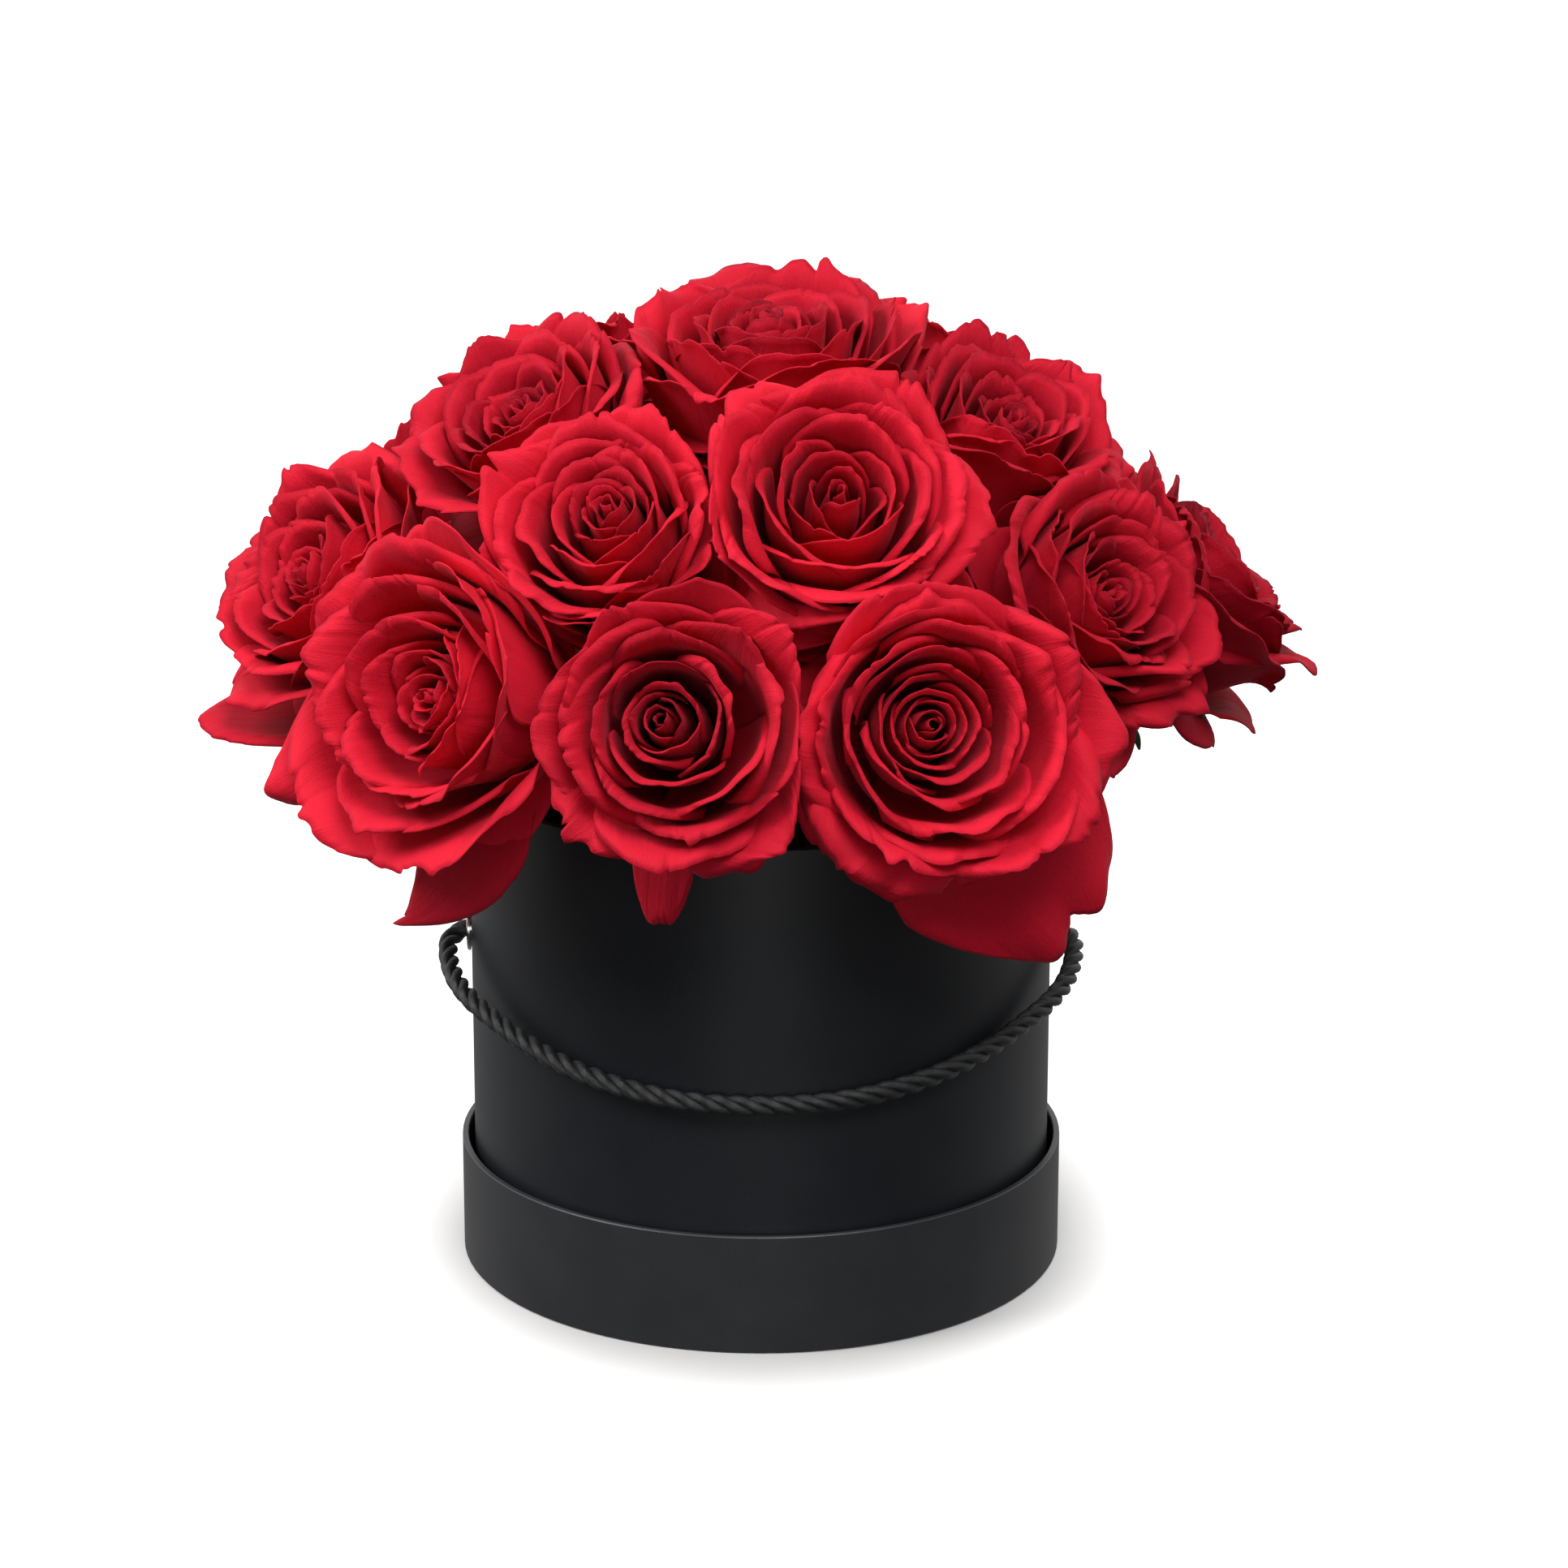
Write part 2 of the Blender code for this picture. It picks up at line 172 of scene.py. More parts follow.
# Each guard petal's roll, half width (degrees), reach and tip height, close to those of its CAD solid,
# and what differs in how its end is shaped.
GUARDS = {
    6: (-12, 30, 1.55, 0.85),
    7: (4, 24, 2.30, 0.12),
    8: (-2, 11, 1.74, 0.34),
    9: (37, 38, 2.12, 0.20),
    10: (2, 30, 1.60, 0.40),
    11: (10, 34, 1.50, 0.45),
    13: (-14, 34, 1.75, 0.30),
    15: (12, 30, 1.80, 0.35),
    16: (-8, 32, 1.60, 0.70),
}
GUARD_ENDS = {
    7: dict(sweep=-1.05, point=0.50, pinch=0.5, lip=6.0, curl=0.5),
    8: dict(point=0.0, lip=5.0, curl=1.5, ruffle=2.0, pinch=0.0),
    9: dict(point=0.03, lip=9.0, curl=0.45, ruffle=2.0, ragged=1.2),
    10: dict(point=0.05, lip=6.0, curl=0.8),
    11: dict(point=0.05, lip=6.0, curl=0.7),
}
GUARD_END = dict(lip=7.0, curl=0.5, point=0.06, pinch=0.2, ruffle=1.5)


def smooth(x, a, b):
    t = np.clip((x - a) / (b - a), 0.0, 1.0)
    return t * t * (3.0 - 2.0 * t)


def wander(rng, x, waves, size):
    """A smooth random curve over x in -1..1."""
    y = np.zeros_like(x)
    for k in range(1, waves + 1):
        y = y + rng.normal() * np.cos(math.pi * k * x + rng.uniform(0, 6.28)) / k**0.8
    return size * y


# ---------------------------------------------------------------- shader helpers


class Graph:
    """A material's node tree with short calls for the nodes used here."""

    def __init__(self, name):
        self.material = bpy.data.materials.new(name)
        self.material.use_nodes = True
        self.tree = self.material.node_tree
        self.shader = self.tree.nodes["Principled BSDF"]

    def node(self, kind, **settings):
        n = self.tree.nodes.new(kind)
        for key, value in settings.items():
            setattr(n, key, value)
        return n

    def feed(self, socket, value):
        if isinstance(value, bpy.types.NodeSocket):
            self.tree.links.new(value, socket)
        else:
            socket.default_value = value

    def math(self, operation, a, b=0.0):
        n = self.node("ShaderNodeMath", operation=operation)
        self.feed(n.inputs[0], a)
        self.feed(n.inputs[1], b)
        return n.outputs[0]

    def blend(self, *terms):
        """The sum of (socket, weight) terms."""
        total = None
        for socket, weight in terms:
            part = self.math("MULTIPLY", socket, weight)
            total = self.math("ADD", total, part) if total is not None else part
        return total

    def place(self):
        return self.node("ShaderNodeTexCoord").outputs["Object"]

    def uv(self, name):
        return self.node("ShaderNodeUVMap", uv_map=name).outputs[0]

    def parts(self, vector):
        n = self.node("ShaderNodeSeparateXYZ")
        self.feed(n.inputs[0], vector)
        return n.outputs

    def stretch(self, vector, scale):
        n = self.node("ShaderNodeMapping")
        self.feed(n.inputs["Vector"], vector)
        n.inputs["Scale"].default_value = scale
        return n.outputs[0]

    def noise(self, vector, scale, detail=2.0, roughness=0.5):
        n = self.node("ShaderNodeTexNoise")
        self.feed(n.inputs["Vector"], vector)
        n.inputs["Scale"].default_value = scale
        n.inputs["Detail"].default_value = detail
        n.inputs["Roughness"].default_value = roughness
        return n.outputs["Fac"]

    def cells(self, vector, scale):
        n = self.node("ShaderNodeTexVoronoi")
        self.feed(n.inputs["Vector"], vector)
        n.inputs["Scale"].default_value = scale
        return n.outputs["Distance"]

    def ramp(self, factor, stops):
        n = self.node("ShaderNodeValToRGB")
        self.feed(n.inputs[0], factor)
        elements = n.color_ramp.elements
        while len(elements) < len(stops):
            elements.new(0.5)
        for element, (position, color) in zip(elements, stops):
            element.position = position
            element.color = (*color, 1.0)
        return n.outputs[0]

    def attribute(self, name):
        return self.node("ShaderNodeAttribute", attribute_name=name).outputs["Fac"]

    def vector(self, operation, a, b=(0.0, 0.0, 0.0)):
        n = self.node("ShaderNodeVectorMath", operation=operation)
        self.feed(n.inputs[0], a)
        self.feed(n.inputs[1], b)
        return n.outputs["Value" if operation == "DOT_PRODUCT" else "Vector"]

    def round_normal(self, centre, level):
        """The normal of a round wall about an axis through centre.
        level has 0 along the axis and 1 across it. Faces across the axis keep their own normal."""
        own = self.node("ShaderNodeNewGeometry").outputs["True Normal"]
        out = self.vector("MULTIPLY", self.vector("SUBTRACT", self.place(), centre), level)
        side = self.math("SIGN", self.vector("DOT_PRODUCT", own, out))
        spread = self.node("ShaderNodeVectorMath", operation="SCALE")
        self.feed(spread.inputs[0], self.vector("NORMALIZE", out))
        self.feed(spread.inputs["Scale"], side)
        across = self.vector("MULTIPLY", own, level)
        wall = self.math("GREATER_THAN", self.vector("DOT_PRODUCT", across, across), 0.97)
        mix = self.node("ShaderNodeMix", data_type="VECTOR")
        self.feed(mix.inputs["Factor"], wall)
        ends = [s for s in mix.inputs if s.type == "VECTOR" and s.name in ("A", "B")]
        self.feed(ends[0], own)
        self.feed(ends[1], spread.outputs["Vector"])
        return next(s for s in mix.outputs if s.type == "VECTOR")

    def bump(self, height, strength, distance, normal=None):
        n = self.node("ShaderNodeBump")
        if normal:
            self.feed(n.inputs["Normal"], normal)
        self.feed(n.inputs["Height"], height)
        n.inputs["Strength"].default_value = strength
        n.inputs["Distance"].default_value = distance
        self.feed(self.shader.inputs["Normal"], n.outputs[0])

    def set(self, **values):
        for key, value in values.items():
            self.feed(self.shader.inputs[key.replace("_", " ")], value)


def map_range(tree, value, start, end, kind="LINEAR"):
    """The socket's value taken from the range start to the range end."""
    n = tree.nodes.new("ShaderNodeMapRange")
    n.interpolation_type = kind
    tree.links.new(value, n.inputs["Value"])
    for name, limit in zip(("From Min", "From Max", "To Min", "To Max"), (*start, *end)):
        n.inputs[name].default_value = limit
    return n.outputs[0]


# ---------------------------------------------------------------- materials


def petal_material():
    """Velvet with fine veins and a dull thin edge, darker towards the bud and the petal's foot: painted
    shade deep in the cup.
    """
    g = Graph("petal")
    uv = g.uv("petal")
    along = g.parts(uv)["Y"]
    place = g.place()
    veins = g.noise(g.stretch(uv, (70.0, 3.0, 1.0)), 1.0, 3.0)
    mottle = g.noise(place, 110.0, 3.0)
    nap = g.noise(place, 1900.0, 2.0, 0.6)
    # along and ring darken each petal's foot and the inner petals: painted shade deep in the cup.
    tone = g.blend((along, 0.42), (g.attribute("ring"), 0.34), (mottle, 0.22), (veins, 0.14), (nap, 0.36),
                   (g.attribute("tint"), 0.30))
    uneven = g.math("MULTIPLY", g.math("SUBTRACT", mottle, 0.5), 0.06)
    edge = map_range(g.tree, g.math("ADD", along, uneven), (0.965, 0.995), (0.0, 0.22), "SMOOTHSTEP")
    tone = g.math("SUBTRACT", tone, g.math("ADD", edge, 0.48))
    color = g.ramp(tone, [(0.0, (0.11, 0.0015, 0.010)), (0.40, (0.40, 0.0045, 0.018)),
                          (1.0, (0.68, 0.011, 0.032))])
    g.set(Base_Color=color, Roughness=0.70, Specular_IOR_Level=0.12)
    g.set(Sheen_Weight=0.20, Sheen_Roughness=0.40, Sheen_Tint=(1.0, 0.12, 0.17, 1.0))
    g.set(Subsurface_Weight=0.13, Subsurface_Radius=(0.0020, 0.0004, 0.0004), Subsurface_Scale=1.0)
    crease = g.noise(g.stretch(uv, (9.0, 2.0, 1.0)), 1.0, 2.0)
    g.bump(g.blend((veins, 0.8), (nap, 0.6), (crease, 2.4)), 0.45, 0.0005)
    return g.material


def paper_material(name, dark, light):
    g = Graph(name)
    place = g.place()
    fibre = g.noise(place, 2600.0, 3.0, 0.6)
    cloud = g.noise(place, 60.0, 3.0)
    color = g.ramp(g.blend((fibre, 0.5), (cloud, 0.5)), [(0.25, dark), (0.75, light)])
    g.set(Base_Color=color, Roughness=0.42, Specular_IOR_Level=0.5)
    g.bump(fibre, 0.12, 0.0002, g.round_normal((0.0, 0.0, 0.0), (1.0, 1.0, 0.0)))
    return g.material


def rope_material():
    g = Graph("rope")
    fibre = g.noise(g.stretch(g.uv("rope"), (6.0, 90.0, 1.0)), 1.0, 3.0)
    tone = g.blend((fibre, 0.7), (g.noise(g.place(), 500.0, 2.0), 0.3))
    color = g.ramp(tone, [(0.25, (0.0025, 0.0028, 0.0030)), (0.8, (0.014, 0.0160, 0.0160))])
    g.set(Base_Color=color, Roughness=0.38, Specular_IOR_Level=0.60)
    g.set(Sheen_Weight=0.06, Sheen_Roughness=0.4, Sheen_Tint=(0.85, 0.9, 0.9, 1.0))
    g.bump(fibre, 0.5, 0.0003)
    return g.material


def nickel_material():
    g = Graph("nickel_plate")
    place = g.place()
    wear = g.noise(place, 700.0, 3.0)
    color = g.ramp(wear, [(0.3, (0.62, 0.61, 0.58)), (0.8, (0.84, 0.83, 0.80))])
    g.set(Base_Color=color, Metallic=1.0)
    g.set(Roughness=g.math("ADD", g.math("MULTIPLY", wear, 0.22), 0.14))
    bore = g.round_normal((0.0, 0.0, EYELET_HEIGHT), (0.0, 1.0, 1.0))
    g.bump(g.noise(place, 3000.0, 2.0), 0.05, 0.0001, bore)
    return g.material


def steel_material():
    g = Graph("black_steel_bar")
    wear = g.noise(g.place(), 900.0, 3.0)
    g.set(Base_Color=g.ramp(wear, [(0.3, (0.02, 0.02, 0.02)), (0.85, (0.09, 0.09, 0.09))]), Metallic=1.0)
    g.set(Roughness=g.math("ADD", g.math("MULTIPLY", wear, 0.3), 0.3))
    return g.material


def liner_material():
    g = Graph("black_film")
    crease = g.noise(g.stretch(g.place(), (1.0, 1.0, 0.3)), 90.0, 3.0)
    color = g.ramp(crease, [(0.3, (0.010, 0.010, 0.011)), (0.8, (0.024, 0.024, 0.026))])
    g.set(Base_Color=color, Roughness=0.36)
    g.bump(crease, 0.4, 0.0008, g.round_normal((0.0, 0.0, 0.0), (1.0, 1.0, 0.0)))
    return g.material


def foam_material():
    g = Graph("floral_foam")
    place = g.place()
    cells = g.cells(place, 1500.0)
    tone = g.blend((cells, 0.6), (g.noise(place, 120.0, 3.0), 0.5))
    color = g.ramp(tone, [(0.2, (0.004, 0.008, 0.005)), (0.8, (0.014, 0.026, 0.015))])
    g.set(Base_Color=color, Roughness=0.95)
    g.bump(cells, 0.8, 0.0006)
    return g.material


def leaf_material(name, dark, light):
    g = Graph(name)
    place = g.place()
    streak = g.noise(g.stretch(place, (1.0, 1.0, 0.25)), 420.0, 3.0)
    tone = g.blend((streak, 0.5), (g.noise(place, 70.0, 2.0), 0.5))
    color = g.ramp(tone, [(0.25, dark), (0.8, light)])
    g.set(Base_Color=color, Roughness=0.55, Specular_IOR_Level=0.35)
    g.set(Subsurface_Weight=0.10, Subsurface_Radius=(0.0006, 0.0012, 0.0004), Subsurface_Scale=1.0)
    g.bump(streak, 0.35, 0.0003)
    return g.material


# ---------------------------------------------------------------- meshes


def grid_mesh(name, grids, uv_name, thick=None):
    """One object from many grids: each is points, uv across, uv along, and floats to store as attributes."""
    verts, faces, uvs = [], [], []
    floats = {}
    start = 0
    for points, across, along, extra in grids:
        rows, columns = points.shape[0] - 1, points.shape[1] - 1
        verts.append(points.reshape(-1, 3))
        uvs.append(np.stack([across.reshape(-1), along.reshape(-1)], -1))
        corner = np.arange(rows)[:, None] * (columns + 1) + np.arange(columns)[None, :]
        corner = corner.reshape(-1) + start
        faces.append(np.stack([corner, corner + 1, corner + columns + 2, corner + columns + 1], -1))
        count = points.shape[0] * points.shape[1]
        for key, value in extra.items():
            floats.setdefault(key, []).append(np.full(count, value, np.float32))
        start += count
    verts, faces, uvs = np.concatenate(verts), np.concatenate(faces), np.concatenate(uvs)
    mesh = bpy.data.meshes.new(name)
    mesh.vertices.add(len(verts))
    mesh.vertices.foreach_set("co", verts.astype(np.float32).ravel())
    mesh.loops.add(faces.size)
    mesh.loops.foreach_set("vertex_index", faces.astype(np.int32).ravel())
    mesh.polygons.add(len(faces))
    mesh.polygons.foreach_set("loop_start", (np.arange(len(faces)) * 4).astype(np.int32))
    mesh.update(calc_edges=True)
    mesh.shade_smooth()
    layer = mesh.uv_layers.new(name=uv_name)
    layer.data.foreach_set("uv", uvs[faces.ravel()].astype(np.float32).ravel())
    for key, values in floats.items():
        mesh.attributes.new(key, "FLOAT", "POINT").data.foreach_set("value", np.concatenate(values))
    obj = bpy.data.objects.new(name, mesh)
    bpy.context.scene.collection.objects.link(obj)
    if thick:
        solid = obj.modifiers.new("Thick", "SOLIDIFY")
        solid.thickness = thick
        solid.offset = 0.0
    return obj


def finish_piece(obj, material, body, slot, *nodes):
    obj.data.materials.append(material)
    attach(obj, body)
    if nodes:
        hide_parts(*nodes)


def run_of(line):
    """The distance along a line of points, at each of them."""
    steps = np.linalg.norm(np.diff(line, axis=0), axis=1)
    return np.concatenate([[0.0], np.cumsum(steps)])


# ---------------------------------------------------------------- rope


def smooth_route(points, step):
    """Points about a step apart on the smooth curve through the given ones (Catmull-Rom)."""
    ends = [2 * points[0] - points[1], *points, 2 * points[-1] - points[-2]]
    fine = []
    for a, b, c, d in zip(ends, ends[1:], ends[2:], ends[3:]):
        for part in range(20):
            t = part / 20
            fine.append(0.5 * (2 * b + (c - a) * t + (2 * a - 5 * b + 4 * c - d) * t**2
                               + (3 * b - a - 3 * c + d) * t**3))
    fine.append(points[-1])
    fine = np.array(fine)
    run = run_of(fine)
    wanted = np.linspace(0.0, run[-1], round(run[-1] / step) + 1)
    return np.stack([np.interp(wanted, run, fine[:, k]) for k in range(3)], -1)


def carried_frames(route):
    """A frame at each point of a route that turns no more than the route does."""
    along = np.gradient(route, axis=0)
    along /= np.linalg.norm(along, axis=1)[:, None]
    side = np.cross(along[0], (0.0, 0.0, 1.0))
    side /= np.linalg.norm(side)
    sides = []
    for t in along:
        side = side - t * side.dot(t)
        side /= np.linalg.norm(side)
        sides.append(side.copy())
    sides = np.array(sides)
    return along, sides, np.cross(along, sides)


def make_rope(material):
    """Three strands, each ribbed by its yarns, laid round the route."""
    fall = math.sin(CORD_SLOPE)
    half = [np.array((side, -ahead * math.cos(CORD_SLOPE), EYELET_HEIGHT - ahead * fall))
            for side, ahead in ROUTE_HALF]
    mirrored = [np.array((-p[0], p[1], p[2])) for p in reversed(half)]
    coarse = smooth_route(half + mirrored, CORD_STEP)
    route = smooth_route(list(coarse), ROUTE_STEP)
    _, side, other = carried_frames(route)
    run = np.linspace(0.0, 1.0, len(route)) * CORD_LENGTH
    around = np.linspace(0.0, 2 * math.pi, STRAND_SIDES + 1)
    grids = []
    for k in range(STRANDS):
        angle = 2 * math.pi * run / LAY_PITCH + k * 2 * math.pi / STRANDS
        out = side * np.cos(angle)[:, None] + other * np.sin(angle)[:, None]
        core = route + out * STRAND_OFFSET
        _, s, o = carried_frames(core)
        twist = around[None, :] - 2 * math.pi * run[:, None] / YARN_PITCH
        radius = STRAND_RADIUS * (1 + YARN_DEPTH * np.cos(YARNS * twist))
        ring = radius[:, :, None] * (s[:, None, :] * np.cos(around)[None, :, None]
                                     + o[:, None, :] * np.sin(around)[None, :, None])
        points = core[:, None, :] + ring
        v = np.broadcast_to(around[None, :] / (2 * math.pi), points.shape[:2])
        u = np.broadcast_to(run[:, None] / ROPE_UV_LENGTH, points.shape[:2])
        grids.append((points, u, v, {}))
    rope = grid_mesh("rope_handle", grids, "rope")
    shape = bmesh.new()
    shape.from_mesh(rope.data)
    bmesh.ops.remove_doubles(shape, verts=shape.verts, dist=1e-6)
    bmesh.ops.holes_fill(shape, edges=[e for e in shape.edges if e.is_boundary], sides=64)
    bmesh.ops.recalc_face_normals(shape, faces=shape.faces)
    shape.to_mesh(rope.data)
    shape.free()
    rope.data.shade_smooth()
    finish_piece(rope, material, "handle", "black_rope", "handle_cord")


# ---------------------------------------------------------------- roses


def cup_of(number):
    """A rose's cup, read from its solid: base point, facing, radius and depth."""
    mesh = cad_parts[f"rose_{number:02d}_bloom"].data
    points = np.array([tuple(v.co) for v in mesh.vertices])
    points = np.unique(np.round(points, 5), axis=0)
    middle = points.mean(axis=0)
    values, vectors = np.linalg.eigh(np.cov((points - middle).T))
    odd = int(np.argmax([abs(values[k] - (values.sum() - values[k]) / 2) for k in range(3)]))
    facing = vectors[:, odd]
    height = (points - middle) @ facing
    reach = np.linalg.norm((points - middle) - height[:, None] * facing, axis=1)
    top, low = height.max(), height.min()
    # The mouth is the wider end.
    if reach[height > top - 0.004].max() < reach[height < low + 0.004].max():
        facing, top, low = -facing, -low, -top
    return middle + facing * low, facing, reach.max(), top - low


def cup_axes(facing):
    """The rose's own axes as columns: X straight down the mouth's slope, Z the way the rose faces."""
    down = facing * facing[2] - np.array((0.0, 0.0, 1.0))
    down /= np.linalg.norm(down)
    return np.stack([down, np.cross(facing, down), facing], -1)


def cup_hull(number):
    """The convex hull of a rose's cup: its corners and its tree."""
    shape = bmesh.new()
    shape.from_mesh(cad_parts[f"rose_{number:02d}_bloom"].data)
    hull = bmesh.ops.convex_hull(shape, input=shape.verts)
    bmesh.ops.delete(shape, geom=hull["geom_interior"] + hull["geom_unused"], context="VERTS")
    tree = BVHTree.FromBMesh(shape)
    corners = [v.co.copy() for v in shape.verts]
    shape.free()
    return corners, tree


def separating_planes():
    """For each rose, planes (point, normal) halfway to each near neighbour's cup, the normal towards it."""
    hulls = {n: cup_hull(n) for n in ROSES}
    planes = {n: [] for n in ROSES}
    for a, b in itertools.combinations(ROSES, 2):
        (corners, tree), other = hulls[a], hulls[b][1]
        gap, start = min((other.find_nearest(p)[3], tuple(p)) for p in corners)
        if gap > NEAR_ROSE:
            continue
        p = Vector(start)
        for _ in range(NEAREST_ROUNDS):
            q = other.find_nearest(p)[0]
            p = tree.find_nearest(q)[0]
        apart = q - p
        if apart.length < 1e-6:
            continue
        normal = np.array(apart.normalized())
        middle = np.array((p + q) / 2)
        planes[a].append((middle, normal))
        planes[b].append((middle, -normal))
    return planes


def keep_behind(points, planes):
    """Points eased back where they cross the planes between a rose and its neighbours."""
    room = PLANE_SOFT + PLANE_CROSS
    for middle, normal in planes:
        ahead = (points - middle) @ normal
        eased = PLANE_CROSS - room * np.exp(-(np.maximum(ahead, -PLANE_SOFT) + PLANE_SOFT) / room)
        shift = np.where(ahead > -PLANE_SOFT, eased - ahead, 0.0)
        points = points + shift[..., None] * normal
    return points


def spine_of(base, rim, a0, a1):
    """A petal's middle line up to where its lip begins: run, (radius, height) and angle from straight up.
    It leaves the base at the angle a0 and meets the rim at a1."""
    base, rim = np.array(base), np.array(rim)
    d0 = np.array([math.sin(a0), math.cos(a0)])
    d1 = np.array([math.sin(a1), math.cos(a1)])
    length = np.linalg.norm(rim - base)
    p1, p2 = base + d0 * length * 0.42, rim - d1 * length * 0.42
    t = np.linspace(0, 1, 48)[:, None]
    q = 1 - t
    line = base * q**3 + 3 * p1 * q**2 * t + 3 * p2 * q * t**2 + rim * t**3
    slope = 3 * (p1 - base) * q**2 + 6 * (p2 - p1) * q * t + 3 * (rim - p2) * t**2
    return run_of(line), line, np.arctan2(slope[:, 0], slope[:, 1])


def square(size):
    """v along a petal in 0..1 and u across it in -1..1, for a grid of rows and columns."""
    rows, columns = size
    return np.linspace(0, 1, rows + 1)[:, None], np.linspace(-1, 1, columns + 1)[None, :]


def turned_grid(x, y, z, turn, u, v):
    """The points x, y, z turned about the Z axis, with their uv."""
    points = [x * np.cos(turn) - y * np.sin(turn), x * np.sin(turn) + y * np.cos(turn), z]
    return np.stack(points, -1), 0.5 + 0.5 * (u + 0 * v), v + 0 * u


def petal(rng, turn, spine, half, size, lip=3.0, curl=1.0, wrap=1.0, lap=1.0, ragged=1.0, tip=0.0, point=0.0,
          roll=0.1, ruffle=1.0, ease=0.72, shoulder=0.27, pinch=0.0, sweep=0.0):
    """One petal about the Z axis as a grid of points in millimetres.
    half is its half width, wrap the radius it is bent round over its own, and lap moves one edge in and
    one out. The outermost lip millimetres bend outwards by curl radians. tip, point, shoulder and pinch
    shape the outline of its end and ragged nicks it, ease is where along it the width peaks, roll lifts
    its edges, ruffle waves it and sweep turns its end sideways."""
    run, line, angles = spine
    body = run[-1]
    total = body + lip
    v, u = square(size)

    # The outline: how far each column reaches.
    top = 1 - shoulder * np.abs(u)**3.4 - point * np.abs(u)**1.2 + tip * np.exp(-((u / 0.10)**2))
    top = top + ragged * wander(rng, u, 6, 0.008) + ragged * wander(rng, u, 16, 0.004)
    for _ in range(rng.integers(1, 5)):
        nick, width = rng.uniform(-0.9, 0.9), rng.uniform(0.015, 0.06)
        top = top - ragged * rng.uniform(0.01, 0.045) * np.exp(-np.abs((u - nick) / width)**1.3)
    length = total * top

    # The profile: along the spine up to start, then round the lip.
    fold = np.maximum(lip * (1 + 0.25 * wander(rng, u, 3, 0.6)), 0.4)
    bend = curl * (1 + 0.35 * np.clip(wander(rng, u, 3, 0.7), -1.5, 1.5) + 0.5 * pinch * (np.abs(u) - 0.35))
    bend = np.clip(bend, 0.05, 3.6)
    start = np.minimum(length - fold, body)
    along = v * length
    inside = np.minimum(along, start)
    rad = np.interp(inside, run, line[:, 0])
    hgt = np.interp(inside, run, line[:, 1])
    angle = np.interp(start, run, angles)
    turned = bend * (np.maximum(along - start, 0.0) / fold)
    rad = rad + fold / bend * (np.cos(angle) - np.cos(angle + turned))
    hgt = hgt + fold / bend * (np.sin(angle + turned) - np.sin(angle))

    # The width, bent round the rose.
    s = along / total
    width = half * (0.30 + 0.70 * np.sin(np.clip(s / ease, 0, 1) * math.pi / 2)**1.2)
    width = width * np.where(s > ease, 1 - (0.10 + pinch) * np.clip((s - ease) / (1 - ease), 0, 1)**2, 1.0)
    bent = wrap * np.maximum(rad, 0.2 * line[:, 0].max() + 0.6)
    psi = width * u / bent
    x = (rad - bent) + bent * np.cos(psi)
    y = bent * np.sin(psi)

    # The waves.
    x = x + lap * u * (0.3 + 0.7 * s)
    high = smooth(s, 0.45, 1.0)
    x = x + ruffle * half * 0.022 * wander(rng, u, 4, 1.0) * high
    hgt = hgt + ruffle * half * 0.016 * wander(rng, u, 3, 1.0) * high
    x = x + ruffle * half * 0.012 * wander(rng, s * 2 - 1, 3, 1.0) * np.cos(u * 2.2 + rng.uniform(0, 6))
    x = x + half * roll * np.abs(u)**4 * smooth(s, 0.35, 1.0)
    return turned_grid(x, y, hgt + 0 * u, turn + sweep * (s - 0.5), u, v)


def room_for(planes, axes, origin):
    """How far out a petal may reach at an angle and a height before it meets a neighbour, in millimetres."""
    def room(angle, height):
        reach = FREE_REACH
        start = origin + axes[:, 2] * height / 1000
        way = axes[:, 0] * math.cos(angle) + axes[:, 1] * math.sin(angle)
        for middle, normal in planes:
            slant = way @ normal
            if slant > PLANE_FACING:
                reach = min(reach, 1000 * ((middle - start) @ normal) / slant)
        return reach
    return room


